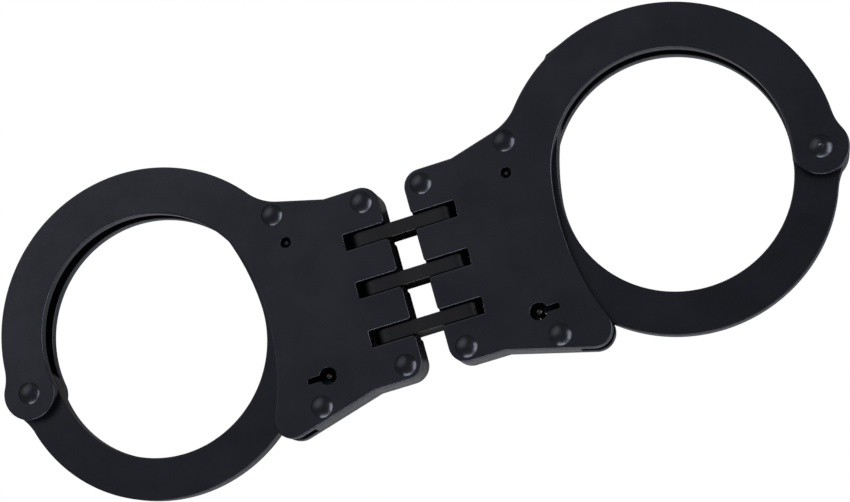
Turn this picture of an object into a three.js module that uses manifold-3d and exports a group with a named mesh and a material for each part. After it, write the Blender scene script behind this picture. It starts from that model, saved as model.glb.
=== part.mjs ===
// Hinged handcuffs: two mirrored cuffs joined by three rigid links, lying flat.
// Millimetres, +Z up, +X along the length, origin on the floor under the middle of the bounding box.
// The right cuff is described in its own frame: hinge centre line at x = 0, mid-plane at z = 0, cuff
// axis at y = 0. The left cuff is its mirror image. Angles are in degrees.

import * as THREE from "three";
import { mergeVertices } from "three/addons/utils/BufferGeometryUtils.js";
import Module from "manifold-3d";

const wasm = await Module();
wasm.setup();

// ---------------------------------------------------------------- driving dimensions

// The stack of each cuff, from the floor up: rivet head, back plate, gap, front plate, rivet head.
const PLATE = 2.6;
const GAP = 4.9;
const HEAD = 1.2;
const HALF_GAP = GAP / 2;
const HALF_STACK = HALF_GAP + PLATE;
const MID_Z = HALF_STACK + HEAD;
const SPACER_HALF = HALF_GAP - 0.02; // clamped between the plates
const SLIDING_HALF = HALF_GAP - 0.25; // arm and pawl move freely between the plates

// The arm's pivot and the round bow of the cheek plates.
const PIVOT = new THREE.Vector2(106.4, 0);
const BOSS_R = 7.05;
const BOW_OUTER = new THREE.Vector2(69.4, 7.15);
const BOW_OUTER_R = 42.25;
const BOW_INNER = new THREE.Vector2(70.15, 7.2);
const BOW_INNER_R = 29.95;
const BOSS_BLEND_R = 12;

// The lock body, from the hinge edge to the edge that faces the wrist.
const HINGE_EDGE_X = 3.6;
const BODY_HALF_WIDTH = 25.8;
const BODY_CORNER_R = 4.6;
const FLARE_X = 17.4;
const FLARE = 15.1;
const SHOULDER_BLEND_R = 13.8;
const LOWER_CORNER_R = 4.8;

// The hinge: link slots, links and pins.
const SLOT_YS = [13, 0, -13];
const SLOT_WIDTH = 4.2;
const SLOT_END_X = 15;
const PIN_X = 10.6;
const LINK_R = 3.8;
const LINK_THICKNESS = 3.8;
const HINGE_PIN_R = 1.25;
const HINGE_PIN_HALF = 20.15;
const RUNNING_GAP = 0.1;

// The body spacer between the plates.
const SPACER_END_X = 35.3;
const CAVITY_START_X = 17.2;
const CAVITY_HALF_WIDTH = 21.8;
const CAVITY_CORNER_R = 2.5;
const SWEEP_R = 74.4; // everything in the gap keeps this far from the pivot
const KEY_SWEEP_R = 5.6;
const LOCK_PIN_HOLE_R = 1.1;

// Rivets: places, shanks and domed heads.
const HINGE_RIVET = new THREE.Vector2(8.1, 21.95);
const LOCK_RIVET = new THREE.Vector2(31.65, 25.95);
const BODY_RIVET = { shank: 1.5, head: 2.85 };
const PIVOT_RIVET = { shank: 2, head: 2.9 };
const DOME_STEPS = 3;
const RIVET_SIDES = 16;

// The swinging arm, in polar coordinates about the pivot, with its bow centre at 180 degrees.
const ARM_BOW_DISTANCE = 36.3;
const ARM_INNER_R = ARM_BOW_DISTANCE - BOSS_R; // the bow runs tangent into the boss
const ARM_OUTER_R = 40.2;
const ARM_BLEND_R = 14;
const ARM_TIP = 149.3; // where the toothed edge ends
const ARM_NOSE = { radius: 70, angle: 143.8 }; // the tip slopes to this point from both edges of the band
const ARM_NOSE_START = 147.5;
const TOOTH_PITCH = 1.5;
const TOOTH_TIP_R = 73.7;
const TOOTH_ROOT_R = 72.5;
const FIRST_TOOTH = 152.45;
const TOOTH_COUNT = 28;
const ARM_TURN = { right: -6.95, left: -3.95 }; // the left arm is two teeth further open

// The lock's inside.
const PAWL_PIN = new THREE.Vector2(29.9, 17.8);
const PAWL_PIN_R = 0.95;
const PAWL_HOLE_R = 1.4; // seen from the front
const PAWL_HUB_R = 3.6;
const PAWL_INNER_R = 74.6;
const PAWL_OUTER_R = 79.4;
const PAWL_END = 190.2;
const PAWL_TEETH_START = 183;
const PAWL_TEETH = 3;
const TOOTH_GAP = 0.2; // outwards from the arm's teeth
const TOOTH_GAP_TURN = 0.093; // and along them, in degrees
const PAWL_SHOULDER = { left: 25.4, right: 28.5, bottom: -5.5, top: -1.8 };
const KEYHOLE = new THREE.Vector2(28.05, -18.85);
const KEYHOLE_R = 2.25;
const KEY_SLOT_WIDTH = 1.5;
const KEY_SLOT_END_X = 33.5;
const KEY_POST_R = 0.95;
const SLIDE_BAR = { left: 19.4, right: 22.6, bottom: -12, top: 17.5 };
const SLIDE_NOSE = { left: 22, right: 25, bottom: -0.6, top: 2.4 }; // blocks the pawl when it is down
const SLIDE_FOOT = { left: 22, right: 24.8, bottom: -12, top: -10 }; // where the key lifts the slide
const SLIDE_HALF = SLIDING_HALF - 0.1;
const SLIDE_TRAVEL = 3;
const DETENT_Y = 2;
const DETENT_R = 0.9;
const SPRING_THICKNESS = 0.5;
const SPRING_HALF = HALF_GAP - 0.4;

const CHORD_ERROR = 0.025; // how far a polygon's side may lie inside its arc
const THROUGH = 9; // half the length of a cutting tool that goes right through the stack
const BEYOND = 60; // further out than any edge of a cuff

// ---------------------------------------------------------------- plane geometry

const toRadians = THREE.MathUtils.degToRad;
const toDegrees = THREE.MathUtils.radToDeg;

function polar(centre, radius, degrees) {
  const a = toRadians(degrees);
  return new THREE.Vector2(centre.x + radius * Math.cos(a), centre.y + radius * Math.sin(a));
}

function angleTo(from, to) {
  return toDegrees(Math.atan2(to.y - from.y, to.x - from.x));
}

// Points along an arc, both ends included. It turns anticlockwise when the second angle is larger.
function arc(centre, radius, from, to) {
  const largest = toDegrees(2 * Math.acos(1 - CHORD_ERROR / radius));
  const steps = Math.max(1, Math.ceil(Math.abs(to - from) / largest));
  const points = [];
  for (let i = 0; i <= steps; i++) {
    points.push(polar(centre, radius, from + ((to - from) * i) / steps));
  }
  return points;
}

// The crossing of two circles that lies to the left of the line from the first centre to the second.
function circlesMeet(a, radiusA, b, radiusB) {
  const d = a.distanceTo(b);
  const along = (radiusA * radiusA - radiusB * radiusB + d * d) / (2 * d);
  return polar(a, radiusA, angleTo(a, b) + toDegrees(Math.acos(along / radiusA)));
}

// The first crossing of a circle by the line that leaves a point at an angle.
function lineMeetsCircle(start, degrees, centre, radius) {
  const direction = polar(new THREE.Vector2(), 1, degrees);
  const toCentre = centre.clone().sub(start);
  const along = toCentre.dot(direction);
  const aside = toCentre.cross(direction);
  return start.clone().addScaledVector(direction, along - Math.sqrt(radius * radius - aside * aside));
}

// A closed outline from runs of points that follow each other. Where one run starts on the point
// that ended the last, the point is kept once.
function closed(...runs) {
  const points = runs.flat();
  return points.filter((p, i) => p.distanceTo(points.at(i - 1)) > 1e-6);
}

// A flat piece of the ring between two radii and two angles about a centre.
function ringSector(centre, inner, outer, from, to) {
  return closed(arc(centre, outer, from, to), arc(centre, inner, to, from));
}

function circle(centre, radius) {
  return closed(arc(centre, radius, 0, 360));
}

function rectangle({ left, right, bottom, top }) {
  return [
    new THREE.Vector2(left, bottom),
    new THREE.Vector2(right, bottom),
    new THREE.Vector2(right, top),
    new THREE.Vector2(left, top),
  ];
}

// A strip of constant width along a smooth line through the given points.
function strip(points, width) {
  const line = new THREE.SplineCurve(points.map(([x, y]) => new THREE.Vector2(x, y)));
  const left = [];
  const right = [];
  for (let i = 0; i <= 12; i++) {
    const p = line.getPointAt(i / 12);
    const t = line.getTangentAt(i / 12);
    left.push(new THREE.Vector2(p.x - (t.y * width) / 2, p.y + (t.x * width) / 2));
    right.push(new THREE.Vector2(p.x + (t.y * width) / 2, p.y - (t.x * width) / 2));
  }
  return [...left, ...right.reverse()];
}

// ---------------------------------------------------------------- solids

function extrude(outline, bottom, top) {
  const options = { depth: top - bottom, bevelEnabled: false };
  return new THREE.ExtrudeGeometry(new THREE.Shape(outline), options).translate(0, 0, bottom);
}

function cylinder(centre, radius, bottom, top) {
  return extrude(circle(centre, radius), bottom, top);
}

// A tool that cuts an outline out of the whole stack, and one for a round hole.
function through(outline) {
  return extrude(outline, -THROUGH, THROUGH);
}

function hole(centre, radius) {
  return through(circle(centre, radius));
}

// A cylinder along Y, through the height z = 0.
function cylinderY(x, radius, from, to) {
  return cylinder(new THREE.Vector2(x, 0), radius, -to, -from).rotateX(Math.PI / 2);
}

function toSolid(geometry) {
  const bare = geometry.clone();
  bare.deleteAttribute("normal");
  bare.deleteAttribute("uv");
  const merged = mergeVertices(bare, 1e-4);
  return new wasm.Manifold(
    new wasm.Mesh({
      numProp: 3,
      vertProperties: merged.attributes.position.array,
      triVerts: new Uint32Array(merged.index.array),
    }),
  );
}

function toGeometry(solid) {
  const mesh = solid.getMesh();
  const geometry = new THREE.BufferGeometry();
  geometry.setAttribute("position", new THREE.BufferAttribute(mesh.vertProperties, 3));
  geometry.setIndex(new THREE.BufferAttribute(mesh.triVerts, 1));
  return geometry;
}

function cut(geometry, tools) {
  return toGeometry(tools.reduce((solid, tool) => solid.subtract(toSolid(tool)), toSolid(geometry)));
}

function join(geometries) {
  return toGeometry(geometries.map(toSolid).reduce((all, next) => all.add(next)));
}

// ---------------------------------------------------------------- outlines

// Three slots open to the hinge edge, as a run of points from top to bottom.
function slotPoints() {
  return SLOT_YS.flatMap((y) => [
    new THREE.Vector2(HINGE_EDGE_X, y + SLOT_WIDTH / 2),
    new THREE.Vector2(SLOT_END_X, y + SLOT_WIDTH / 2),
    new THREE.Vector2(SLOT_END_X, y - SLOT_WIDTH / 2),
    new THREE.Vector2(HINGE_EDGE_X, y - SLOT_WIDTH / 2),
  ]);
}

// The cheek plate: lock body, bow over the top of the wrist opening, and boss round the pivot.
function plateOutline() {
  const cornerX = HINGE_EDGE_X + BODY_CORNER_R;
  const cornerY = BODY_HALF_WIDTH - BODY_CORNER_R;

  // The edge beside the arm is struck from the pivot and runs tangent into the bow.
  const lockEdgeR = PIVOT.distanceTo(BOW_INNER) + BOW_INNER_R;
  const bowStart = angleTo(PIVOT, BOW_INNER);

  // The lower corner touches the flared bottom edge and the edge beside the arm.
  const flareStart = new THREE.Vector2(FLARE_X, -BODY_HALF_WIDTH);
  const cornerLine = polar(flareStart, LOWER_CORNER_R, 90 - FLARE);
  const lower = lineMeetsCircle(cornerLine, -FLARE, PIVOT, lockEdgeR + LOWER_CORNER_R);
  const lowerFacing = angleTo(lower, PIVOT);

  // Hollow blends: boss to bow, and bow to the flared top edge.
  const bossBlend = circlesMeet(BOW_OUTER, BOW_OUTER_R + BOSS_BLEND_R, PIVOT, BOSS_R + BOSS_BLEND_R);
  const topStart = new THREE.Vector2(FLARE_X, BODY_HALF_WIDTH);
  const shoulderLine = polar(topStart, SHOULDER_BLEND_R, 90 + FLARE);
  const shoulder = lineMeetsCircle(shoulderLine, FLARE, BOW_OUTER, BOW_OUTER_R + SHOULDER_BLEND_R);

  const bowMeetsBoss = circlesMeet(PIVOT, BOSS_R, BOW_INNER, BOW_INNER_R);

  return closed(
    arc(new THREE.Vector2(cornerX, -cornerY), BODY_CORNER_R, 180, 270),
    flareStart,
    arc(lower, LOWER_CORNER_R, 270 - FLARE, 360 + lowerFacing),
    arc(PIVOT, lockEdgeR, 180 + lowerFacing, bowStart),
    arc(BOW_INNER, BOW_INNER_R, bowStart, angleTo(BOW_INNER, bowMeetsBoss)),
    arc(PIVOT, BOSS_R, angleTo(PIVOT, bowMeetsBoss), 360 + angleTo(PIVOT, bossBlend)),
    arc(bossBlend, BOSS_BLEND_R, 180 + angleTo(PIVOT, bossBlend), 180 + angleTo(BOW_OUTER, bossBlend)),
    arc(BOW_OUTER, BOW_OUTER_R, angleTo(BOW_OUTER, bossBlend), angleTo(BOW_OUTER, shoulder)),
    arc(shoulder, SHOULDER_BLEND_R, 180 + angleTo(BOW_OUTER, shoulder), 270 + FLARE),
    topStart,
    arc(new THREE.Vector2(cornerX, cornerY), BODY_CORNER_R, 90, 180),
    slotPoints(),
  );
}

// A saw edge about the pivot. The radius rises with the angle and drops back at each steep face.
function sawEdge(centre, start, count, rootR, tipR) {
  const points = [];
  for (let i = 0; i < count; i++) {
    points.push(polar(centre, rootR, start + i * TOOTH_PITCH));
    points.push(polar(centre, tipR, start + (i + 1) * TOOTH_PITCH));
  }
  return points;
}

// The arm about the pivot at (0, 0): boss, hollow blend, bow, toothed band and pointed tip.
function armOutline() {
  const pivot = new THREE.Vector2(0, 0);
  const bow = new THREE.Vector2(-ARM_BOW_DISTANCE, 0);
  const bandR = ARM_BOW_DISTANCE + ARM_INNER_R;
  const bowMeetsTeeth = circlesMeet(pivot, TOOTH_TIP_R, bow, ARM_OUTER_R);
  const blend = circlesMeet(pivot, BOSS_R + ARM_BLEND_R, bow, ARM_OUTER_R + ARM_BLEND_R);
  const bowEnd = angleTo(bow, blend) + 360;
  const bossStart = angleTo(pivot, blend);
  return closed(
    arc(bow, ARM_OUTER_R, angleTo(bow, bowMeetsTeeth) + 360, bowEnd),
    arc(blend, ARM_BLEND_R, bowEnd - 180, bossStart + 180),
    arc(pivot, BOSS_R, bossStart, 180),
    arc(bow, ARM_INNER_R, 360, 180),
    arc(pivot, bandR, 180, ARM_NOSE_START),
    polar(pivot, ARM_NOSE.radius, ARM_NOSE.angle),
    arc(pivot, TOOTH_TIP_R, ARM_TIP, FIRST_TOOTH),
    sawEdge(pivot, FIRST_TOOTH, TOOTH_COUNT, TOOTH_ROOT_R, TOOTH_TIP_R),
  );
}

// ---------------------------------------------------------------- plates and spacer

function rivetPlaces() {
  return [HINGE_RIVET, LOCK_RIVET].flatMap((p) => [p, new THREE.Vector2(p.x, -p.y)]);
}

function rivetHoles() {
  const holes = rivetPlaces().map((p) => hole(p, BODY_RIVET.shank + RUNNING_GAP));
  return [...holes, hole(PIVOT, PIVOT_RIVET.shank + RUNNING_GAP)];
}

function frontPlate() {
  const keySlot = rectangle({
    left: KEYHOLE.x,
    right: KEY_SLOT_END_X,
    bottom: KEYHOLE.y - KEY_SLOT_WIDTH / 2,
    top: KEYHOLE.y + KEY_SLOT_WIDTH / 2,
  });
  return cut(extrude(plateOutline(), HALF_GAP, HALF_STACK), [
    ...rivetHoles(),
    hole(PAWL_PIN, PAWL_HOLE_R),
    hole(KEYHOLE, KEYHOLE_R),
    through(keySlot),
  ]);
}

function backPlate() {
  return cut(extrude(plateOutline(), -HALF_STACK, -HALF_GAP), [
    ...rivetHoles(),
    hole(PAWL_PIN, PAWL_PIN_R + RUNNING_GAP),
    hole(KEYHOLE, KEY_POST_R + RUNNING_GAP),
  ]);
}

// The cavity for the lock parts, open towards the arm.
function cavityOutline() {
  const x = CAVITY_START_X + CAVITY_CORNER_R;
  const y = CAVITY_HALF_WIDTH - CAVITY_CORNER_R;
  return closed(
    arc(new THREE.Vector2(x, y), CAVITY_CORNER_R, 90, 180),
    arc(new THREE.Vector2(x, -y), CAVITY_CORNER_R, 180, 270),
    new THREE.Vector2(BOW_OUTER.x, -CAVITY_HALF_WIDTH),
    new THREE.Vector2(BOW_OUTER.x, CAVITY_HALF_WIDTH),
  );
}

// One C-shaped body between the plates, with the hinge knuckles and the bore for the hinge pin.
// The bore is blind at the bottom, and the upper hinge rivet crosses it and keeps the pin in. A small
// hole in the top edge leads to the double-lock slide.
function bodySpacer() {
  const armSide = rectangle({
    left: SPACER_END_X,
    right: PIVOT.x + BEYOND,
    bottom: -BEYOND,
    top: BEYOND,
  });
  const slideX = (SLIDE_BAR.left + SLIDE_BAR.right) / 2;
  return cut(extrude(plateOutline(), -SPACER_HALF, SPACER_HALF), [
    through(armSide),
    hole(PIVOT, SWEEP_R),
    through(cavityOutline()),
    hole(KEYHOLE, KEY_SWEEP_R),
    ...rivetHoles(),
    cylinderY(PIN_X, HINGE_PIN_R + RUNNING_GAP, -HINGE_PIN_HALF - RUNNING_GAP, BEYOND),
    cylinderY(slideX, LOCK_PIN_HOLE_R, CAVITY_HALF_WIDTH - 1, BEYOND),
  ]);
}

// ---------------------------------------------------------------- fasteners and pins

// A rivet along Z: a shank as long as the stack, with a domed head on each end.
function rivet({ shank, head }) {
  const domeR = (head * head + HEAD * HEAD) / (2 * HEAD);
  const half = toDegrees(Math.asin(head / domeR));
  const dome = [];
  for (let i = 0; i <= DOME_STEPS; i++) {
    const a = toRadians((half * i) / DOME_STEPS);
    dome.push(new THREE.Vector2(domeR * Math.sin(a), HALF_STACK + HEAD - domeR * (1 - Math.cos(a))));
  }
  dome[0].x = 0;
  const top = [...dome, new THREE.Vector2(shank, HALF_STACK)];
  const bottom = top.map((p) => new THREE.Vector2(p.x, -p.y));
  return new THREE.LatheGeometry([...bottom, ...top.reverse()], RIVET_SIDES).rotateX(Math.PI / 2);
}

function hingePin() {
  return cylinderY(PIN_X, HINGE_PIN_R, -HINGE_PIN_HALF, HINGE_PIN_HALF);
}

function pawlPin() {
  return cylinder(PAWL_PIN, PAWL_PIN_R, -HALF_STACK + 0.1, HALF_STACK - 0.9);
}

function keyPost() {
  return cylinder(KEYHOLE, KEY_POST_R, -HALF_STACK + 0.1, HALF_STACK - 0.7);
}

// A stadium-shaped link in the XZ plane, bored for both hinge pins.
function link() {
  const right = new THREE.Vector2(PIN_X, 0);
  const left = new THREE.Vector2(-PIN_X, 0);
  const outline = closed(arc(right, LINK_R, -90, 90), arc(left, LINK_R, 90, 270));
  const half = LINK_THICKNESS / 2;
  const bores = [right, left].map((p) => hole(p, HINGE_PIN_R + RUNNING_GAP));
  return cut(extrude(outline, -half, half), bores);
}

// ---------------------------------------------------------------- moving parts of the lock

function swingArm() {
  const bore = hole(new THREE.Vector2(), PIVOT_RIVET.shank + RUNNING_GAP);
  return cut(extrude(armOutline(), -SLIDING_HALF, SLIDING_HALF), [bore]);
}

// The pawl hangs from its pin beside the arm. Three teeth mesh with the arm's, a shoulder on its back
// meets the double-lock slide, and its tail reaches into the key's sweep.
function pawl() {
  const inside = PAWL_INNER_R + 1; // where the teeth and the tail overlap the pawl's bar
  const teethStart = PAWL_TEETH_START + TOOTH_GAP_TURN;
  const teethEnd = teethStart + PAWL_TEETH * TOOTH_PITCH;
  const rootR = TOOTH_ROOT_R + TOOTH_GAP;
  const tipR = TOOTH_TIP_R + TOOTH_GAP;
  const teeth = [
    polar(PIVOT, inside, teethEnd),
    ...sawEdge(PIVOT, teethStart, PAWL_TEETH, rootR, tipR).reverse(),
    polar(PIVOT, inside, teethStart),
  ];
  const tail = [
    polar(PIVOT, PAWL_OUTER_R, PAWL_END - 1),
    polar(PIVOT, PAWL_OUTER_R, PAWL_END + 1.2),
    polar(PIVOT, PAWL_OUTER_R - 2.4, PAWL_END + 1.2),
    polar(PIVOT, inside, PAWL_END - 1),
  ];
  const outlines = [
    ringSector(PIVOT, PAWL_INNER_R, PAWL_OUTER_R, angleTo(PIVOT, PAWL_PIN), PAWL_END),
    circle(PAWL_PIN, PAWL_HUB_R),
    teeth,
    tail,
    rectangle(PAWL_SHOULDER),
  ];
  const solids = outlines.map((outline) => extrude(outline, -SLIDING_HALF, SLIDING_HALF));
  return cut(join(solids), [hole(PAWL_PIN, PAWL_PIN_R + RUNNING_GAP)]);
}

// A bar that slides along Y. At rest its nose stands above the pawl's shoulder. At the end of its travel
// the nose is behind the shoulder, and the pawl can't lift. Its two notches rest on the detent spring.
function doubleLockSlide() {
  const outlines = [SLIDE_BAR, SLIDE_NOSE, SLIDE_FOOT].map(rectangle);
  const solids = outlines.map((outline) => extrude(outline, -SLIDE_HALF, SLIDE_HALF));
  const notches = [DETENT_Y, DETENT_Y + SLIDE_TRAVEL].map((y) =>
    hole(new THREE.Vector2(SLIDE_BAR.left, y), DETENT_R),
  );
  return cut(join(solids), notches);
}

function pawlSpring() {
  const points = [[25.2, 21.3], [24, 17], [24.2, 11], [26.6, 4.2]];
  return extrude(strip(points, SPRING_THICKNESS), -SPRING_HALF, SPRING_HALF);
}

function detentSpring() {
  const points = [[17.6, -7.5], [18.2, -3], [19.2, DETENT_Y], [18.2, 7], [17.6, 11.5]];
  return extrude(strip(points, SPRING_THICKNESS), -SPRING_HALF, SPRING_HALF);
}

// ---------------------------------------------------------------- materials and assembly

const steel = {
  plate: { color: 0x24272f, roughness: 0.5, metalness: 0.85 },
  arm: { color: 0x26282d, roughness: 0.5, metalness: 0.85 },
  link: { color: 0x302f31, roughness: 0.55, metalness: 0.8 },
  rivet: { color: 0x2b2d33, roughness: 0.3, metalness: 0.95 },
  works: { color: 0x6d6f72, roughness: 0.35, metalness: 1 },
};
const materials = {};
for (const [name, look] of Object.entries(steel)) {
  materials[name] = new THREE.MeshStandardMaterial(look);
}

function mesh(name, geometry, material) {
  const made = new THREE.Mesh(geometry, materials[material]);
  made.name = name;
  return made;
}

function addRivet(cuff, name, place, kind) {
  const made = mesh(name, rivet(kind), "rivet");
  made.position.set(place.x, place.y, 0);
  cuff.add(made);
}

function cuff(side) {
  const group = new THREE.Group();
  const pieces = [
    ["front_plate", frontPlate(), "plate"],
    ["back_plate", backPlate(), "plate"],
    ["body_spacer", bodySpacer(), "plate"],
    ["hinge_pin", hingePin(), "works"],
    ["pawl", pawl(), "works"],
    ["pawl_pin", pawlPin(), "works"],
    ["pawl_spring", pawlSpring(), "works"],
    ["double_lock_slide", doubleLockSlide(), "works"],
    ["detent_spring", detentSpring(), "works"],
    ["key_post", keyPost(), "works"],
  ];
  for (const [name, geometry, material] of pieces) {
    group.add(mesh(`${side}_${name}`, geometry, material));
  }

  const arm = mesh(`${side}_swing_arm`, swingArm(), "arm");
  arm.position.set(PIVOT.x, PIVOT.y, 0);
  arm.rotation.z = toRadians(ARM_TURN[side]);
  group.add(arm);

  const rivetNames = ["hinge_rivet_upper", "hinge_rivet_lower", "lock_rivet_upper", "lock_rivet_lower"];
  rivetPlaces().forEach((p, i) => addRivet(group, `${side}_${rivetNames[i]}`, p, BODY_RIVET));
  addRivet(group, `${side}_pivot_rivet`, PIVOT, PIVOT_RIVET);
  return group;
}

// The y that lies halfway between the top of the bows and the bottom of the wider open arm.
function middleY() {
  const top = BOW_OUTER.y + BOW_OUTER_R;
  const bottom = ARM_BOW_DISTANCE * Math.sin(toRadians(180 + ARM_TURN.left)) - ARM_OUTER_R;
  return (top + bottom) / 2;
}

const handcuffs = new THREE.Group();
handcuffs.name = "handcuffs";
const raised = new THREE.Group();
raised.position.set(0, -middleY(), MID_Z);
handcuffs.add(raised);

const rightCuff = cuff("right");
const leftCuff = cuff("left");
leftCuff.scale.x = -1;
raised.add(rightCuff, leftCuff);

["upper_link", "middle_link", "lower_link"].forEach((name, i) => {
  const made = mesh(name, link(), "link");
  made.position.y = SLOT_YS[i];
  made.rotation.x = Math.PI / 2;
  raised.add(made);
});

export default handcuffs;
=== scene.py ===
"""Looks for the hinged handcuffs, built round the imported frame.

Shapes are written in millimetres and become metres where a mesh is made. Each cuff is described in its
own frame, as in the CAD: hinge centre line at x = 0, cuff axis at y = 0, mid-plane at z = 0, with the right
cuff as it lies and the left one mirrored. Points in the plane are complex numbers, and angles are degrees.
"""

import bpy
import cmath
import math
import numpy as np
from mathutils import Matrix, Vector
from mathutils.geometry import delaunay_2d_cdt


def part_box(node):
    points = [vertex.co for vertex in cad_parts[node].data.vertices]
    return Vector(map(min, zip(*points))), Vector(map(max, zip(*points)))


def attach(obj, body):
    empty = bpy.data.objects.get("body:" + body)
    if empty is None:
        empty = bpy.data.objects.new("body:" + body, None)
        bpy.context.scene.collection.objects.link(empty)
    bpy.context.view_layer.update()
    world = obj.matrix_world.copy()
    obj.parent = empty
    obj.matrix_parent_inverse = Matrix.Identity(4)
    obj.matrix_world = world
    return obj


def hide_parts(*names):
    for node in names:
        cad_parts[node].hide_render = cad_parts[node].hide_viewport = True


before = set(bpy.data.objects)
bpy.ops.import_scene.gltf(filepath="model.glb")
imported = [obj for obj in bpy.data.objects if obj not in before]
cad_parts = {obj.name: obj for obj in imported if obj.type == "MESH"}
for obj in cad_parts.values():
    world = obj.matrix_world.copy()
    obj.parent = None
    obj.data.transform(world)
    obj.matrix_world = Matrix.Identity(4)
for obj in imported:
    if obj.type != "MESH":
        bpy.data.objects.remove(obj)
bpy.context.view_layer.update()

MM = 0.001
SIDES = ("right", "left")

# ---------------------------------------------------------------- dimensions, as in the CAD

PLATE = 2.6
HALF_GAP = 2.45
HALF_STACK = HALF_GAP + PLATE
HEAD = 1.2
SLIDING_HALF = 2.2

PIVOT = 106.4 + 0j
BOSS_R = 7.05
BOW_OUTER = 69.4 + 7.15j
BOW_OUTER_R = 42.25
BOW_INNER = 70.15 + 7.2j
BOW_INNER_R = 29.95
BOSS_BLEND_R = 12

HINGE_EDGE_X = 3.6
BODY_HALF_WIDTH = 25.8
BODY_CORNER_R = 4.6
FLARE_X = 17.4
FLARE = 15.1
SHOULDER_BLEND_R = 13.8
LOWER_CORNER_R = 4.8

SLOT_YS = (13, 0, -13)
SLOT_WIDTH = 4.2
SLOT_END_X = 15
PIN_X = 10.6
LINK_R = 3.8
LINK_THICKNESS = 3.8
HINGE_PIN_R = 1.25
HINGE_PIN_HALF = 20.15
RUNNING_GAP = 0.1

HINGE_RIVET = 8.1 + 21.95j
LOCK_RIVET = 31.65 + 25.95j
BODY_RIVET = (1.5, 2.85, 0)  # shank and head radius, and the depth of the dimple in the head
PIVOT_RIVETS = {"right": (2.0, 2.9, 0.45), "left": (2.0, 2.9, 0)}
RIVET_RIM = 0.08  # height of a head's rim over the plate
RIM_UNDERCUT = 0.2
DIMPLE_R = 0.62
RIVETS = {
    "hinge_rivet_upper": HINGE_RIVET,
    "hinge_rivet_lower": HINGE_RIVET.conjugate(),
    "lock_rivet_upper": LOCK_RIVET,
    "lock_rivet_lower": LOCK_RIVET.conjugate(),
}

ARM_BOW_DISTANCE = 36.3
ARM_INNER_R = ARM_BOW_DISTANCE - BOSS_R
ARM_OUTER_R = 40.2
ARM_BLEND_R = 14
ARM_TIP = 149.3  # where the toothed edge ends
ARM_NOSE = (70, 143.8)  # radius and angle of the point between the tip's two slopes
ARM_NOSE_START = 147.5
TOOTH_PITCH = 1.5
TOOTH_TIP_R = 73.7
TOOTH_ROOT_R = 72.5
FIRST_TOOTH = 152.45
TOOTH_COUNT = 28
ARM_TURN = {"right": -6.95, "left": -3.95}

PAWL_PIN = 29.9 + 17.8j
PAWL_PIN_R = 0.95
PAWL_HOLE_R = 1.4
KEYHOLE = 28.05 - 18.85j
KEYHOLE_R = 2.25
KEY_SLOT_WIDTH = 1.5
KEY_SLOT_END_X = 33.5
KEY_POST_R = 0.95

# ---------------------------------------------------------------- pins, and finish of the edges

PIN_DOME = 0.6
DOME_STEPS = 20
PIN_INSET = 0.1  # of a pin's back end from the back face
PAWL_PIN_DEPTH = 0.9  # below the front face
KEY_POST_DEPTH = 0.7

PLATE_EDGE = 0.45  # rounding of a cheek plate's outer face
SEAM_EDGE = 0.3  # and of the face against the spacer
HOLE_EDGE = 0.16
TAB_CORNER_R = 0.9
SLOT_CORNER_R = 0.35
SHARP_CORNER_R = 0.5
NOSE_CORNER_R = 1
KEY_SLOT_CORNER_R = 0.6
ARM_EDGE = 0.35
TOOTH_EDGE = 0.12
TOOTH_CORNER_R = 0.15
LINK_EDGE = 0.3
WORKS_EDGE = 0.1
ROUND_STEPS = 4  # strips in a rounded edge
POINT_SPACING = 0.55
STRAIGHT_SPACING = 2.2
LARGEST_STEP = 9  # degrees between the points of a small arc
FACE_SPACING = 3.0  # of the points inside a flat face
SHARP_TURN = 12  # a corner that turns more than this gets rounded

# ---------------------------------------------------------------- plane geometry


def polar(centre, radius, degrees):
    return centre + cmath.rect(radius, math.radians(degrees))


def angle_to(start, end):
    return math.degrees(cmath.phase(end - start))


def arc(centre, radius, start, end):
    """Points along an arc, both ends included, anticlockwise when the second angle is larger."""
    turn = abs(end - start)
    steps = max(2, math.ceil(math.radians(turn) * radius / POINT_SPACING), math.ceil(turn / LARGEST_STEP))
    return [polar(centre, radius, start + (end - start) * i / steps) for i in range(steps + 1)]


def circle(centre, radius):
    """A hole's edge: clockwise, with the material on its left."""
    return closed(arc(centre, radius, 360, 0))


def circles_meet(a, radius_a, b, radius_b):
    """The crossing of two circles that lies to the left of the line from a to b."""
    d = abs(b - a)
    to_chord = (radius_a**2 - radius_b**2 + d * d) / (2 * d)
    return polar(a, radius_a, angle_to(a, b) + math.degrees(math.acos(to_chord / radius_a)))


def line_meets_circle(start, degrees, centre, radius):
    """The first crossing of a circle by the line that leaves a point at an angle."""
    direction = polar(0, 1, degrees)
    to_centre = (centre - start) * direction.conjugate()
    return start + direction * (to_centre.real - math.sqrt(radius**2 - to_centre.imag**2))


def closed(*runs):
    """A closed outline from runs of points, with a point that two runs share kept once."""
    points = [p for run in runs for p in run]
    return [p for i, p in enumerate(points) if abs(p - points[i - 1]) > 1e-6]


def turn_at(before, at, after):
    return math.degrees(cmath.phase((after - at) / (at - before)))


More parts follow.
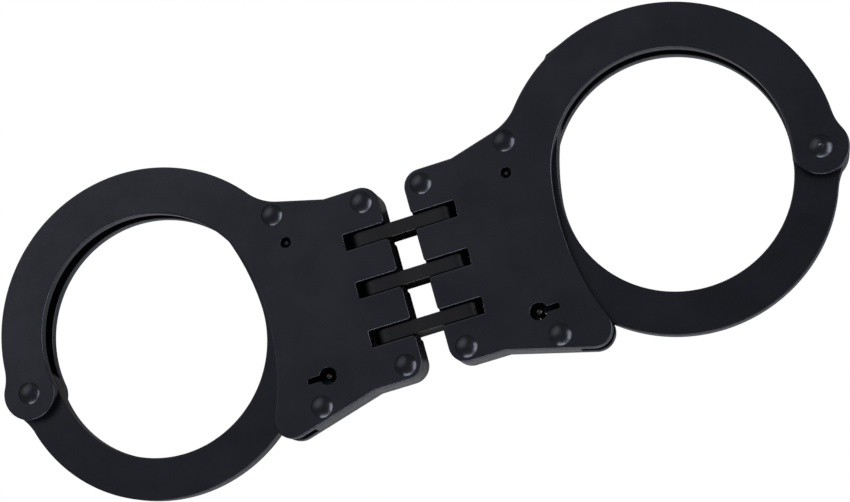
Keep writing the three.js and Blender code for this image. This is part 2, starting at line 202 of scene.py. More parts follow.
def soften(points, radius_at):
    """Rounds each sharp corner of a closed outline to the radius that radius_at gives for it."""
    reaches = {}
    for i, corner in enumerate(points):
        turn = abs(turn_at(points[i - 1], corner, points[(i + 1) % len(points)]))
        if turn > SHARP_TURN:
            reaches[corner] = radius_at(corner) * math.tan(math.radians(turn) / 2)
    clear = [p for p in points if p in reaches or all(abs(p - c) > r * 1.05 for c, r in reaches.items())]
    made = []
    for i, corner in enumerate(clear):
        if corner not in reaches:
            made.append(corner)
            continue
        before = clear[i - 1]
        after = clear[(i + 1) % len(clear)]
        turn = turn_at(before, corner, after)
        reach = min(reaches[corner], 0.48 * min(abs(before - corner), abs(after - corner)))
        heading = (corner - before) / abs(corner - before)
        radius = reach / math.tan(math.radians(abs(turn)) / 2)
        start = corner - heading * reach
        centre = start + math.copysign(radius, turn) * 1j * heading
        steps = max(2, math.ceil(abs(turn) / (1.5 * LARGEST_STEP)))
        made += [centre + (start - centre) * polar(0, 1, turn * k / steps) for k in range(steps + 1)]
    return closed(made)


def spread(points, gap):
    """Adds points along the straight stretches of a closed outline, no further apart than gap."""
    made = []
    for i, start in enumerate(points):
        end = points[(i + 1) % len(points)]
        steps = max(1, math.ceil(abs(end - start) / gap))
        made += [start + (end - start) * k / steps for k in range(steps)]
    return made


# ---------------------------------------------------------------- outlines


def slot_points():
    half = SLOT_WIDTH / 2
    points = []
    for y in SLOT_YS:
        points += [complex(HINGE_EDGE_X, y + half), complex(SLOT_END_X, y + half)]
        points += [complex(SLOT_END_X, y - half), complex(HINGE_EDGE_X, y - half)]
    return points


def plate_outline():
    """The cheek plate: lock body, bow over the top of the wrist opening, and boss round the pivot."""
    corner = complex(HINGE_EDGE_X + BODY_CORNER_R, BODY_HALF_WIDTH - BODY_CORNER_R)

    # The edge beside the arm is struck from the pivot and runs tangent into the bow.
    lock_edge_r = abs(PIVOT - BOW_INNER) + BOW_INNER_R
    bow_start = angle_to(PIVOT, BOW_INNER)

    # The lower corner touches the flared bottom edge and the edge beside the arm.
    flare_start = complex(FLARE_X, -BODY_HALF_WIDTH)
    corner_line = polar(flare_start, LOWER_CORNER_R, 90 - FLARE)
    lower = line_meets_circle(corner_line, -FLARE, PIVOT, lock_edge_r + LOWER_CORNER_R)
    lower_facing = angle_to(lower, PIVOT)

    # Hollow blends: boss to bow, and bow to the flared top edge.
    boss_blend = circles_meet(BOW_OUTER, BOW_OUTER_R + BOSS_BLEND_R, PIVOT, BOSS_R + BOSS_BLEND_R)
    top_start = flare_start.conjugate()
    shoulder_line = polar(top_start, SHOULDER_BLEND_R, 90 + FLARE)
    shoulder = line_meets_circle(shoulder_line, FLARE, BOW_OUTER, BOW_OUTER_R + SHOULDER_BLEND_R)
    bow_meets_boss = circles_meet(PIVOT, BOSS_R, BOW_INNER, BOW_INNER_R)

    blend_from_boss = 180 + angle_to(PIVOT, boss_blend)
    blend_to_bow = 180 + angle_to(BOW_OUTER, boss_blend)

    outline = closed(
        arc(corner.conjugate(), BODY_CORNER_R, 180, 270),
        [flare_start],
        arc(lower, LOWER_CORNER_R, 270 - FLARE, 360 + lower_facing),
        arc(PIVOT, lock_edge_r, 180 + lower_facing, bow_start),
        arc(BOW_INNER, BOW_INNER_R, bow_start, angle_to(BOW_INNER, bow_meets_boss)),
        arc(PIVOT, BOSS_R, angle_to(PIVOT, bow_meets_boss), 180 + blend_from_boss),
        arc(boss_blend, BOSS_BLEND_R, blend_from_boss, blend_to_bow),
        arc(BOW_OUTER, BOW_OUTER_R, blend_to_bow - 180, angle_to(BOW_OUTER, shoulder)),
        arc(shoulder, SHOULDER_BLEND_R, 180 + angle_to(BOW_OUTER, shoulder), 270 + FLARE),
        [top_start],
        arc(corner, BODY_CORNER_R, 90, 180),
        slot_points(),
    )
    return spread(soften(outline, plate_corner_radius), STRAIGHT_SPACING)


def plate_corner_radius(corner):
    if abs(corner.real - SLOT_END_X) < 0.01:
        return SLOT_CORNER_R
    if abs(corner.real - HINGE_EDGE_X) < 0.01:
        return TAB_CORNER_R
    return SHARP_CORNER_R


def keyhole_outline():
    """A round hole with a slot to its right for the key's bit, clockwise."""
    half = KEY_SLOT_WIDTH / 2
    opening = math.degrees(math.asin(half / KEYHOLE_R))
    slot_end = KEY_SLOT_END_X - KEYHOLE.real
    outline = closed(
        arc(KEYHOLE, KEYHOLE_R, 360 - opening, opening),
        [KEYHOLE + complex(slot_end, half), KEYHOLE + complex(slot_end, -half)],
    )
    return soften(outline, lambda corner: KEY_SLOT_CORNER_R)


def arm_outline(turn):
    """The arm in the cuff's frame: boss, hollow blend, bow, toothed band and pointed tip."""
    bow = complex(-ARM_BOW_DISTANCE, 0)
    band_r = ARM_BOW_DISTANCE + ARM_INNER_R
    bow_meets_teeth = circles_meet(0, TOOTH_TIP_R, bow, ARM_OUTER_R)
    blend = circles_meet(0, BOSS_R + ARM_BLEND_R, bow, ARM_OUTER_R + ARM_BLEND_R)
    bow_end = angle_to(bow, blend) + 360
    boss_start = angle_to(0, blend)
    teeth = []
    for i in range(TOOTH_COUNT):
        teeth.append(polar(0, TOOTH_ROOT_R, FIRST_TOOTH + i * TOOTH_PITCH))
        teeth.append(polar(0, TOOTH_TIP_R, FIRST_TOOTH + (i + 1) * TOOTH_PITCH))
    outline = closed(
        arc(bow, ARM_OUTER_R, angle_to(bow, bow_meets_teeth) + 360, bow_end),
        arc(blend, ARM_BLEND_R, bow_end - 180, boss_start + 180),
        arc(0, BOSS_R, boss_start, 180),
        arc(bow, ARM_INNER_R, 360, 180),
        arc(0, band_r, 180, ARM_NOSE_START),
        [polar(0, *ARM_NOSE)],
        arc(0, TOOTH_TIP_R, ARM_TIP, FIRST_TOOTH),
        teeth,
    )

    def radius_at(corner):
        return TOOTH_CORNER_R if abs(corner) > TOOTH_ROOT_R - 0.1 else NOSE_CORNER_R

    return [PIVOT + p * polar(0, 1, turn) for p in soften(outline, radius_at)]


def arm_edge(point):
    """The arm's rounding fades out towards the teeth."""
    t = min(max((TOOTH_ROOT_R - 0.2 - abs(point - PIVOT)) / 2, 0), 1)
    return TOOTH_EDGE + (ARM_EDGE - TOOTH_EDGE) * t * t * (3 - 2 * t)


# ---------------------------------------------------------------- mesh builders


class Solid:
    """Points in millimetres with their normals and how much they belong to a rounded edge, and faces."""

    def __init__(self):
        self.points = []
        self.normals = []
        self.edges = []
        self.faces = []

    def add(self, point, normal, edge):
        self.points.append(Vector(point))
        self.normals.append(Vector(normal))
        self.edges.append(edge)
        return len(self.points) - 1


def inward(loop):
    """Unit normals of a closed loop, towards the material on its left, and the stretch its corners need."""
    points = np.array(loop)
    ahead = np.roll(points, -1) - points
    behind = np.roll(ahead, 1)
    ahead = ahead / abs(ahead)
    behind = behind / abs(behind)
    middle = (ahead + behind) / abs(ahead + behind)
    return 1j * middle, 1 / np.maximum((ahead * middle.conj()).real, 0.5)


def rounding(loop, size):
    """How far the edge is rounded at each point: less at a tight outward corner, and changing slowly."""
    count = len(loop)
    sizes = [size(p) if callable(size) else size for p in loop]
    steps = [abs(loop[(i + 1) % count] - p) for i, p in enumerate(loop)]
    for i, p in enumerate(loop):
        turn = math.radians(turn_at(loop[i - 1], p, loop[(i + 1) % count]))
        if turn > 0.02:
            sizes[i] = min(sizes[i], 0.45 * (steps[i - 1] + steps[i]) / turn)
    for order in (range(2 * count), range(2 * count, 0, -1)):
        for k in order:
            i = k % count
            sizes[i] = min(sizes[i], sizes[i - 1] + 0.4 * steps[i - 1])
            sizes[i - 1] = min(sizes[i - 1], sizes[i] + 0.4 * steps[i - 1])
    return sizes


def inside(points, loops):
    """Which points lie inside an odd number of loops."""
    found = np.zeros(len(points), bool)
    for loop in loops:
        start = np.array(loop)
        end = np.roll(start, -1)
        for a, b in zip(start, end):
            crosses = (a.imag > points.imag) != (b.imag > points.imag)
            if not crosses.any():
                continue
            x = a.real + (points.imag - a.imag) * (b.real - a.real) / (b.imag - a.imag)
            found ^= crosses & (points.real < x)
    return found


def face_points(loops):
    """A triangular grid of points inside the loops, clear of their edges."""
    edge = np.concatenate([np.array(loop) for loop in loops])
    columns = np.arange(edge.real.min(), edge.real.max(), FACE_SPACING)
    rows = np.arange(edge.imag.min(), edge.imag.max(), FACE_SPACING * math.sqrt(3) / 2)
    grid = [
        complex(x + (k % 2) * FACE_SPACING / 2, y)
        for k, y in enumerate(rows)
        for x in columns
    ]
    grid = np.array(grid)
    grid = grid[inside(grid, loops)]
    distance = np.array([abs(edge - p).min() for p in grid])
    return list(grid[distance > FACE_SPACING * 0.45])


def fill(loops):
    """Triangles between the loops: extra points, and faces that index the loops' points and then those."""
    extra = face_points(loops)
    points = [p for loop in loops for p in loop] + extra
    borders = []
    start = 0
    for loop in loops:
        borders += [(start + i, start + (i + 1) % len(loop)) for i in range(len(loop))]
        start += len(loop)
    coordinates = [Vector((p.real, p.imag)) for p in points]
    found = delaunay_2d_cdt(coordinates, borders, [], 0, 1e-7, True)
    names = [origins[0] for origins in found[3]]
    faces = [[names[v] for v in face] for face in found[2]]
    centres = np.array([sum(points[v] for v in face) / 3 for face in faces])
    kept = inside(centres, loops)
    return extra, [face for face, keep in zip(faces, kept) if keep]


def profile(bottom, top, lower, upper):
    """Rings from the bottom face to the top one: (inset, height, slope of the normal, on an edge)."""
    rings = []
    for k in range(ROUND_STEPS + 1):
        slope = 90 * (1 - k / ROUND_STEPS)
        a = math.radians(slope)
        height = bottom + lower * (1 - math.sin(a))
        rings.append((lower * (1 - math.cos(a)), height, -slope, 0 < slope < 90))
    for k in range(ROUND_STEPS + 1):
        slope = 90 * k / ROUND_STEPS
        a = math.radians(slope)
        height = top - upper * (1 - math.sin(a))
        rings.append((upper * (1 - math.cos(a)), height, slope, 0 < slope < 90))
    return rings


def slab(bottom, top, outline, holes=(), lower=SEAM_EDGE, upper=PLATE_EDGE):
    """A plate with rounded edges. lower and upper are lengths, or functions of the point."""
    solid = Solid()
    caps = {False: [], True: []}
    for loop in [outline, *holes]:
        is_hole = loop is not outline
        normals, stretch = inward(loop)
        lows = rounding(loop, HOLE_EDGE if is_hole else lower)
        highs = rounding(loop, HOLE_EDGE if is_hole else upper)
        rings = []
        for p, n, s, low, high in zip(loop, normals, stretch, lows, highs):
            column = []
            for inset, height, slope, on_edge in profile(bottom, top, low, high):
                place = p + n * s * inset
                tilt = math.radians(slope)
                normal = (-n.real * math.cos(tilt), -n.imag * math.cos(tilt), math.sin(tilt))
                column.append(solid.add((place.real, place.imag, height), normal, float(on_edge)))
            rings.append(column)
        for i, column in enumerate(rings):
            after = rings[(i + 1) % len(rings)]
            for k in range(len(column) - 1):
                solid.faces.append((column[k], after[k], after[k + 1], column[k + 1]))
        caps[False].append([column[0] for column in rings])
        caps[True].append([column[-1] for column in rings])
    for is_top, rims in caps.items():
        loops = [[complex(*solid.points[v][:2]) for v in rim] for rim in rims]
        extra, faces = fill(loops)
        height = top if is_top else bottom
        normal = (0, 0, 1 if is_top else -1)
        ids = [v for rim in rims for v in rim]
        ids += [solid.add((p.real, p.imag, height), normal, 0.0) for p in extra]
        for face in faces:
            ordered = face if is_top else face[::-1]
            solid.faces.append(tuple(ids[v] for v in ordered))
    return solid


def revolve(profile_points, segments, wear_and_highlight_r=0):
    """A solid of revolution about Z from a profile of (radius, height), marked inside the given radius for
    the brighter edge colour: partly wear, partly a painted highlight.
    """
    solid = Solid()
    rings = []
    for radius, height in profile_points:
        if radius < 1e-6:
            rings.append([solid.add((0, 0, height), (0, 0, 1), float(wear_and_highlight_r > 0))] * segments)
            continue
        turns = [2 * math.pi * k / segments for k in range(segments)]
        wear_and_highlight = float(radius < wear_and_highlight_r)
        rings.append([
            solid.add((radius * math.cos(a), radius * math.sin(a), height), (0, 0, 1), wear_and_highlight) for a in turns
        ])
    for lower, upper in zip(rings, rings[1:]):
        for k in range(segments):
            after = (k + 1) % segments
            face = [lower[k], lower[after], upper[after], upper[k]]
            kept = [v for i, v in enumerate(face) if v not in face[:i]]
            solid.faces.append(tuple(kept))
    solid.normals = None
    return solid


def to_mesh(name, solid, matrix):
    """A Blender mesh from a solid, placed by a matrix in millimetres that may mirror it."""
    mirrored = matrix.determinant() < 0
    turn = matrix.to_3x3()
    points = [(matrix @ p) * MM for p in solid.points]
    faces = [f[::-1] for f in solid.faces] if mirrored else solid.faces
    mesh = bpy.data.meshes.new(name)
    mesh.from_pydata(points, [], faces)
    mesh.shade_smooth()
    # The edge mark brightens the material on rounded edges and in the rivet dimple: partly wear, partly a
    # painted highlight.
    edge = mesh.attributes.new("edge", "FLOAT", "POINT")
    edge.data.foreach_set("value", solid.edges)
    if solid.normals:
        normals = [(turn @ n).normalized() for n in solid.normals]
        mesh.normals_split_custom_set_from_vertices(normals)
    else:
        mesh.set_sharp_from_angle(angle=math.radians(35))
    mesh.update()
    return mesh


# ---------------------------------------------------------------- places

axis_marks = [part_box(f"right_{name}") for name in ("hinge_rivet_upper", "hinge_rivet_lower")]
AXIS_Y = sum(low.y + high.y for low, high in axis_marks) / 4 / MM
MID_Z = (axis_marks[0][0].z + axis_marks[0][1].z) / 2 / MM


def cuff_frame(side):
    """From a cuff's own frame to the row frame, in millimetres."""
    mirror = -1 if side == "left" else 1
    return Matrix.Translation((0, AXIS_Y, MID_Z)) @ Matrix.Diagonal((mirror, 1, 1, 1))


def shift_to(point):
    return Matrix.Translation((point.real, point.imag, 0))


ALONG_Y = Matrix.Rotation(math.radians(90), 4, "X")  # turns a shape about Z into one about Y

# ---------------------------------------------------------------- materials


def nodes_of(name):
    material = bpy.data.materials.new(name)
    material.use_nodes = True
    tree = material.node_tree
    return material, tree, tree.nodes["Principled BSDF"]


def noise(tree, scale, detail, roughness, seed):
    """A noise pattern in the object's own space, in metres, shifted by a seed."""
    place = tree.nodes.new("ShaderNodeTexCoord")
    shift = tree.nodes.new("ShaderNodeMapping")
    shift.inputs["Location"].default_value = (seed, seed * 0.7, seed * 0.3)
    made = tree.nodes.new("ShaderNodeTexNoise")
    made.inputs["Scale"].default_value = scale
    made.inputs["Detail"].default_value = detail
    made.inputs["Roughness"].default_value = roughness
    tree.links.new(place.outputs["Object"], shift.inputs["Vector"])
    tree.links.new(shift.outputs["Vector"], made.inputs["Vector"])
    return made.outputs["Fac"]


def between(tree, value, from_low, from_high, low, high):
    """Maps a value's range to another, clamped."""
    made = tree.nodes.new("ShaderNodeMapRange")
    for name, number in zip(("From Min", "From Max", "To Min", "To Max"), (from_low, from_high, low, high)):
        made.inputs[name].default_value = number
    tree.links.new(value, made.inputs["Value"])
    return made.outputs["Result"]


def math_node(tree, operation, a, b):
    made = tree.nodes.new("ShaderNodeMath")
    made.operation = operation
    for socket, value in zip(made.inputs, (a, b)):
        if isinstance(value, (int, float)):
            socket.default_value = value
        else:
            tree.links.new(value, socket)
    return made.outputs[0]


def mix_colour(tree, factor, a, b):
    made = tree.nodes.new("ShaderNodeMix")
    made.data_type = "RGBA"
    tree.links.new(factor, made.inputs["Factor"])
    for name, value in (("A", a), ("B", b)):
        socket = next(s for s in made.inputs if s.name == name and s.type == "RGBA")
        if isinstance(value, tuple):
            socket.default_value = (*value, 1)
        else:
            tree.links.new(value, socket)
    return next(s for s in made.outputs if s.type == "RGBA")


CLOUD_LIGHTER = 1.12  # the colour in the light clouds, in the dark ones and on the rounded edges, where it is partly rubbing wear and partly a painted highlight
CLOUD_DARKER = 0.9
RUBBED_AND_HIGHLIGHT = 2.1
ROUGHNESS_SPREAD = 0.05
WORN_SMOOTHER = 0.12
GRAIN_DEPTH = 0.04
# how far the edges go towards the brighter colour: partly rubbing wear, partly a painted highlight
WEAR_AND_HIGHLIGHT = 0.5


def blued_steel(name, colour, roughness, seed, grain=0.3):
    """Black-oxide steel: cloudy colour, a fine blasted grain, and rounded edges a little brighter, partly
    as rubbing wear and partly as a painted highlight.
    """
    material, tree, shader = nodes_of(name)
    clouds = noise(tree, 70, 3, 0.55, seed)
    specks = noise(tree, 2600, 2, 0.6, seed + 3)
    fine = noise(tree, 900, 3, 0.6, seed + 5)
    lighter = tuple(c * CLOUD_LIGHTER for c in colour)
    darker = tuple(c * CLOUD_DARKER for c in colour)
    rubbed_and_highlight = tuple(c * RUBBED_AND_HIGHLIGHT for c in colour)

    body = mix_colour(tree, between(tree, clouds, 0.35, 0.65, 0, 1), darker, lighter)
    speckled = mix_colour(tree, between(tree, specks, 0.55, 0.75, 0, 0.5), body, lighter)

    # The edge mark lightens the rounded edges and the rivet dimple: partly rubbing wear, partly a painted
    # highlight.
    edge = tree.nodes.new("ShaderNodeAttribute")
    edge.attribute_name = "edge"
    patchy = between(tree, fine, 0.35, 0.6, 0.35, 1)
    wear_and_highlight = math_node(tree, "MULTIPLY", math_node(tree, "MULTIPLY", edge.outputs["Fac"], patchy), WEAR_AND_HIGHLIGHT)
    tree.links.new(mix_colour(tree, wear_and_highlight, speckled, rubbed_and_highlight), shader.inputs["Base Color"])

    rough = between(tree, fine, 0.3, 0.7, roughness - ROUGHNESS_SPREAD, roughness + ROUGHNESS_SPREAD)
    smoother = math_node(tree, "SUBTRACT", rough, math_node(tree, "MULTIPLY", wear_and_highlight, WORN_SMOOTHER))
    tree.links.new(smoother, shader.inputs["Roughness"])

    bump = tree.nodes.new("ShaderNodeBump")
    bump.inputs["Strength"].default_value = grain
    bump.inputs["Distance"].default_value = GRAIN_DEPTH * MM
    tree.links.new(specks, bump.inputs["Height"])
    tree.links.new(bump.outputs["Normal"], shader.inputs["Normal"])
    shader.inputs["Metallic"].default_value = 1.0
    return material


PLATE_STEEL = blued_steel("plate_steel", (0.059, 0.062, 0.073), 0.34, 1)
ARM_STEEL = blued_steel("arm_steel", (0.050, 0.051, 0.060), 0.38, 7)
LINK_STEEL = blued_steel("link_steel", (0.060, 0.059, 0.061), 0.42, 11)
RIVET_STEEL = blued_steel("rivet_steel", (0.082, 0.084, 0.096), 0.26, 17, grain=0.1)
WORKS_STEEL = blued_steel("works_steel", (0.09, 0.09, 0.095), 0.3, 23, grain=0.2)
SPRING_STEEL = blued_steel("spring_steel", (0.22, 0.22, 0.23), 0.3, 29, grain=0.1)

# ---------------------------------------------------------------- pieces


def add_piece(name, solid, matrix, body, material):
    """A piece that rides on a body and stands for the CAD node of the same name."""
    mesh = to_mesh(name + "_fine", solid, matrix)
    mesh.materials.append(material)
    made = bpy.data.objects.new(name + "_fine", mesh)
    bpy.context.scene.collection.objects.link(made)
    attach(made, body)
    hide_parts(name)
    return made


def rivet_hole_loops():
    loops = [circle(p, BODY_RIVET[0] + RUNNING_GAP) for p in RIVETS.values()]
    return [*loops, circle(PIVOT, PIVOT_RIVETS["right"][0] + RUNNING_GAP)]


def front_plate():
    holes = [*rivet_hole_loops(), circle(PAWL_PIN, PAWL_HOLE_R), keyhole_outline()]
    return slab(HALF_GAP, HALF_STACK, plate_outline(), holes)


def back_plate():
    pawl_pin_hole = circle(PAWL_PIN, PAWL_PIN_R + RUNNING_GAP)
    key_post_hole = circle(KEYHOLE, KEY_POST_R + RUNNING_GAP)
    holes = [*rivet_hole_loops(), pawl_pin_hole, key_post_hole]
    return slab(-HALF_STACK, -HALF_GAP, plate_outline(), holes, lower=PLATE_EDGE, upper=SEAM_EDGE)


def swing_arm(side):
    bore = circle(PIVOT, PIVOT_RIVETS[side][0] + RUNNING_GAP)
    outline = arm_outline(ARM_TURN[side])
    return slab(-SLIDING_HALF, SLIDING_HALF, outline, [bore], lower=arm_edge, upper=arm_edge)


def rivet(shank, head, dimple_depth):
    """A shank with a domed head at each end, undercut at the rim. A dimple is left by the riveting tool,
    and the colour inside it is lightened: partly wear, partly a painted highlight.
    """
    dome = HEAD - RIVET_RIM
    dome_r = (head**2 + dome**2) / (2 * dome)
    half = math.asin(head / dome_r)
    top = []
    for k in range(DOME_STEPS + 1):
        a = half * k / DOME_STEPS
        r = dome_r * math.sin(a)
        z = HALF_STACK + HEAD - dome_r * (1 - math.cos(a))
        if r < DIMPLE_R:
            z -= dimple_depth * (0.5 + 0.5 * math.cos(math.pi * r / DIMPLE_R))
        top.append((r, z))
    top.append((head - RIM_UNDERCUT, HALF_STACK))
    top.append((shank, HALF_STACK))
    bottom = [(r, -z) for r, z in top]
    return revolve([*bottom, *top[::-1]], 48, DIMPLE_R if dimple_depth else 0)


def pin(radius, low, high):
    """A plain pin along Z with domed ends."""
    dome_r = (radius**2 + PIN_DOME**2) / (2 * PIN_DOME)
    half = math.asin(radius / dome_r)
    turns = [half * k / 8 for k in range(9)]
    cap = [(dome_r * math.sin(a), dome_r * (1 - math.cos(a))) for a in turns]
    bottom = [(r, low + z) for r, z in cap]
    top = [(r, high - z) for r, z in cap[::-1]]
    return revolve([*bottom, *top], 40)


def link():
    """A flat bar with round ends in the XY plane, bored for both hinge pins."""
    outline = closed(arc(complex(PIN_X), LINK_R, -90, 90), arc(complex(-PIN_X), LINK_R, 90, 270))
    bores = [circle(complex(x), HINGE_PIN_R + RUNNING_GAP) for x in (PIN_X, -PIN_X)]
    half = LINK_THICKNESS / 2
    outline = spread(outline, STRAIGHT_SPACING)
    return slab(-half, half, outline, bores, lower=LINK_EDGE, upper=LINK_EDGE)


def add_cuff(side):
    place = cuff_frame(side)
    cuff = f"{side}_cuff"
    add_piece(f"{side}_front_plate", front_plate(), place, cuff, PLATE_STEEL)
    add_piece(f"{side}_back_plate", back_plate(), place, cuff, PLATE_STEEL)
    add_piece(f"{side}_swing_arm", swing_arm(side), place, f"{side}_arm", ARM_STEEL)
    for name, centre in RIVETS.items():
        add_piece(f"{side}_{name}", rivet(*BODY_RIVET), place @ shift_to(centre), cuff, RIVET_STEEL)
    pivot_rivet = rivet(*PIVOT_RIVETS[side])
    add_piece(f"{side}_pivot_rivet", pivot_rivet, place @ shift_to(PIVOT), cuff, RIVET_STEEL)
    pawl_pin = pin(PAWL_PIN_R, -HALF_STACK + PIN_INSET, HALF_STACK - PAWL_PIN_DEPTH)
    add_piece(f"{side}_pawl_pin", pawl_pin, place @ shift_to(PAWL_PIN), cuff, WORKS_STEEL)
    key_post = pin(KEY_POST_R, -HALF_STACK + PIN_INSET, HALF_STACK - KEY_POST_DEPTH)
    add_piece(f"{side}_key_post", key_post, place @ shift_to(KEYHOLE), cuff, WORKS_STEEL)
    hinge_pin = pin(HINGE_PIN_R, -HINGE_PIN_HALF, HINGE_PIN_HALF)
    along_hinge = place @ shift_to(complex(PIN_X)) @ ALONG_Y
    add_piece(f"{side}_hinge_pin", hinge_pin, along_hinge, cuff, WORKS_STEEL)


def keep_cad_node(name, material, rounding):
    """Gives a CAD node its finish, smooth round faces and slightly broken edges."""
    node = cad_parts[name]
    node.data.materials.clear()
    node.data.materials.append(material)
    node.data.shade_smooth()
    node.data.set_sharp_from_angle(angle=math.radians(32))
    if rounding:
        bevel = node.modifiers.new("broken_edges", "BEVEL")
        bevel.width = rounding * MM
        bevel.segments = 2
        bevel.limit_method = "ANGLE"
        bevel.angle_limit = math.radians(50)
        bevel.harden_normals = True


for side in SIDES:
    add_cuff(side)
    keep_cad_node(f"{side}_body_spacer", PLATE_STEEL, SEAM_EDGE)
    keep_cad_node(f"{side}_pawl", WORKS_STEEL, WORKS_EDGE)
    keep_cad_node(f"{side}_double_lock_slide", WORKS_STEEL, WORKS_EDGE)
    keep_cad_node(f"{side}_pawl_spring", SPRING_STEEL, 0)
    keep_cad_node(f"{side}_detent_spring", SPRING_STEEL, 0)

for name, y in zip(("upper_link", "middle_link", "lower_link"), SLOT_YS):
    place = Matrix.Translation((0, AXIS_Y + y, MID_Z)) @ ALONG_Y
    add_piece(name, link(), place, "links", LINK_STEEL)

# ---------------------------------------------------------------- floor, light and camera

FLOOR_DROP = 125  # the floor lies this far below, clear of a cuff that hangs down at a joint's limit
FLOOR_R = 6500
FLOOR_GLOW = 0.985
FLAG_LOW = Vector((-18, -26, -5))
FLAG_HIGH = Vector((18, 16, -5))


def add_backdrop():
    """A glowing white floor and wall behind everything, which light and reflections ignore."""
    floor = [(0, 0), (FLOOR_R / 2, 0), (FLOOR_R - 900, 0)]
    wall = [(FLOOR_R - 250, 250), (FLOOR_R, 900), (FLOOR_R, 4000)]
    mesh = to_mesh("backdrop", revolve([*floor, *wall], 96), Matrix.Translation((0, 0, -FLOOR_DROP)))
    mesh.flip_normals()
    material, tree, shader = nodes_of("white_paper")
    shade = between(tree, noise(tree, 1.5, 2, 0.5, 2), 0.3, 0.7, 0, 1)
    paper = mix_colour(tree, shade, (0.02, 0.02, 0.02), (0.03, 0.03, 0.03))
    tree.links.new(paper, shader.inputs["Base Color"])
    shader.inputs["Roughness"].default_value = 0.9
    shader.inputs["Emission Color"].default_value = (1, 1, 1, 1)
    shader.inputs["Emission Strength"].default_value = FLOOR_GLOW
    mesh.materials.append(material)
    backdrop = bpy.data.objects.new("backdrop", mesh)
    backdrop.visible_glossy = False
    backdrop.visible_diffuse = False
    bpy.context.scene.collection.objects.link(backdrop)


def add_flag():
    """A dark card under the hinge, not seen by the camera, that keeps light from below out of the gap. Its
    dark colour is painted shade, standing in for the shadowed floor under the hinge.
    """
    low = FLAG_LOW * MM
    high = FLAG_HIGH * MM
    corners = [low, (high.x, low.y, low.z), high, (low.x, high.y, low.z)]
    mesh = bpy.data.meshes.new("flag")
    mesh.from_pydata(corners, [], [(0, 1, 2, 3)])
    material, tree, shader = nodes_of("shade_card")
    # painted shade: the dark colour of a shadowed floor under the hinge
    shade = between(tree, noise(tree, 200, 2, 0.5, 4), 0.3, 0.7, 0, 1)
    card = mix_colour(tree, shade, (0.11, 0.11, 0.11), (0.13, 0.13, 0.13))
    tree.links.new(card, shader.inputs["Base Color"])
    shader.inputs["Roughness"].default_value = 1.0
    mesh.materials.append(material)
    flag = bpy.data.objects.new("flag", mesh)
    flag.visible_camera = False
    bpy.context.scene.collection.objects.link(flag)


def add_softbox(name, azimuth, elevation, distance, size, radiance, tint):
    """A rectangular light at a distance in metres, aimed at the middle of the handcuffs."""
    direction = Vector((
        math.cos(math.radians(azimuth)) * math.cos(math.radians(elevation)),
        math.sin(math.radians(azimuth)) * math.cos(math.radians(elevation)),
        math.sin(math.radians(elevation)),
    ))
    light = bpy.data.lights.new(name, "AREA")
    light.shape = "RECTANGLE"
    light.size, light.size_y = size
    light.energy = radiance * math.pi * size[0] * size[1]
    light.color = tint
    lamp = bpy.data.objects.new(name, light)
    lamp.location = direction * distance
    lamp.rotation_euler = (-direction).to_track_quat("-Z", "Y").to_euler()
    bpy.context.scene.collection.objects.link(lamp)


WORLD_BRIGHTEST = (-0.34, 0.50, 0.80)  # the direction of the brightest part overhead
WORLD_BRIGHT_FROM = 0.84  # the cosine of the angle to it at which the horizon's shade begins
WORLD_TOP = (0.47, 0.49, 0.53)
WORLD_HORIZON = (0.135, 0.14, 0.155)
WORLD_BOTTOM_BRIGHT_SIDE = (-0.3, -0.95, 0)
WORLD_BOTTOM = (0.44, 0.445, 0.46)
WORLD_BOTTOM_DARK = (0.17, 0.17, 0.17)


def along(tree, direction, axis):
    """How much a direction points along an axis."""
    made = tree.nodes.new("ShaderNodeVectorMath")
    made.operation = "DOT_PRODUCT"
    made.inputs[1].default_value = axis
    tree.links.new(direction, made.inputs[0])
    return made.outputs["Value"]


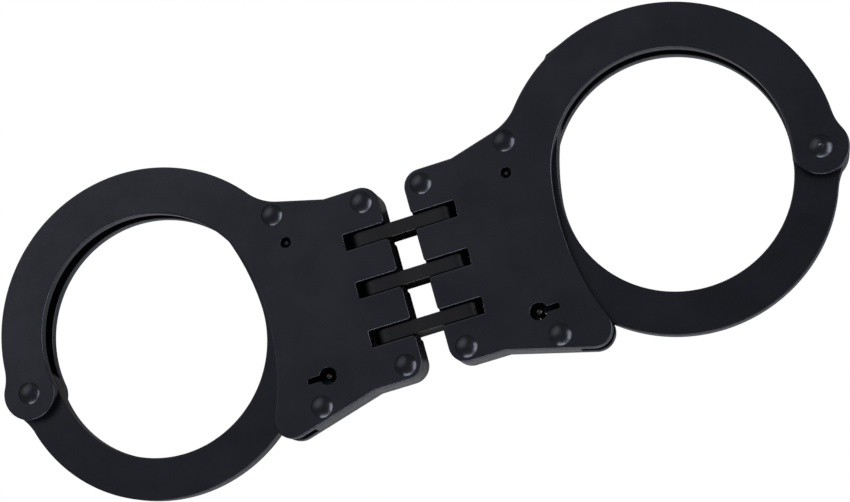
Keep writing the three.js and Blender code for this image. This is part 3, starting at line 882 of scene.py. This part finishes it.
def add_world():
    """A dim room: brighter overhead at the far left, and brighter below on the near side."""
    world = bpy.data.worlds.new("studio")
    world.use_nodes = True
    tree = world.node_tree
    place = tree.nodes.new("ShaderNodeTexCoord")
    direction = place.outputs["Generated"]
    overhead = along(tree, direction, Vector(WORLD_BRIGHTEST).normalized())
    up = between(tree, overhead, WORLD_BRIGHT_FROM, 1, 0, 1)
    side = between(tree, along(tree, direction, WORLD_BOTTOM_BRIGHT_SIDE), -0.25, 0.3, 0, 1)
    down = between(tree, along(tree, direction, (0, 0, 1)), -0.35, -0.9, 0, 1)
    above = mix_colour(tree, up, WORLD_HORIZON, WORLD_TOP)
    below = mix_colour(tree, side, WORLD_BOTTOM_DARK, WORLD_BOTTOM)
    whole = mix_colour(tree, down, above, below)
    tree.links.new(whole, tree.nodes["Background"].inputs["Color"])
    bpy.context.scene.world = world


CAMERA_AIM = Vector((4.52, -1.222, 11.18))
CAMERA_DISTANCE = 491.52
CAMERA_AZIMUTH = -57.058
CAMERA_ELEVATION = 75.059
CAMERA_ROLL = -49.467
CAMERA_LENS = 81.909


def add_camera():
    azimuth = math.radians(CAMERA_AZIMUTH)
    elevation = math.radians(CAMERA_ELEVATION)
    roll = math.radians(CAMERA_ROLL)
    back = Vector((
        math.cos(azimuth) * math.cos(elevation),
        math.sin(azimuth) * math.cos(elevation),
        math.sin(elevation),
    ))
    data = bpy.data.cameras.new("camera")
    data.lens = CAMERA_LENS
    data.sensor_width = 36
    camera = bpy.data.objects.new("camera", data)
    facing = (-back).to_track_quat("-Z", "Y").to_matrix() @ Matrix.Rotation(roll, 3, "Z")
    place = (CAMERA_AIM + back * CAMERA_DISTANCE) * MM
    camera.matrix_world = Matrix.Translation(place) @ facing.to_4x4()
    bpy.context.scene.collection.objects.link(camera)
    bpy.context.scene.camera = camera


SOFTBOXES = (
    # name, azimuth, elevation, distance and size in metres, radiance, tint
    ("window_left", 128, 38, 0.8, (1.1, 0.7), 0.2, (1, 0.98, 0.94)),
    ("lamp_right", -16, 28, 1.0, (0.9, 0.4), 2.9, (0.93, 0.96, 1)),
    ("lamp_front", -102, 21, 1.0, (0.8, 0.26), 3.6, (0.93, 0.96, 1)),
    ("lamp_between", -60, 24, 1.1, (0.6, 0.35), 1.1, (0.9, 0.95, 1)),
)

add_backdrop()
add_flag()
add_world()
for softbox in SOFTBOXES:
    add_softbox(*softbox)
add_camera()
bpy.context.scene.view_settings.view_transform = "Standard"
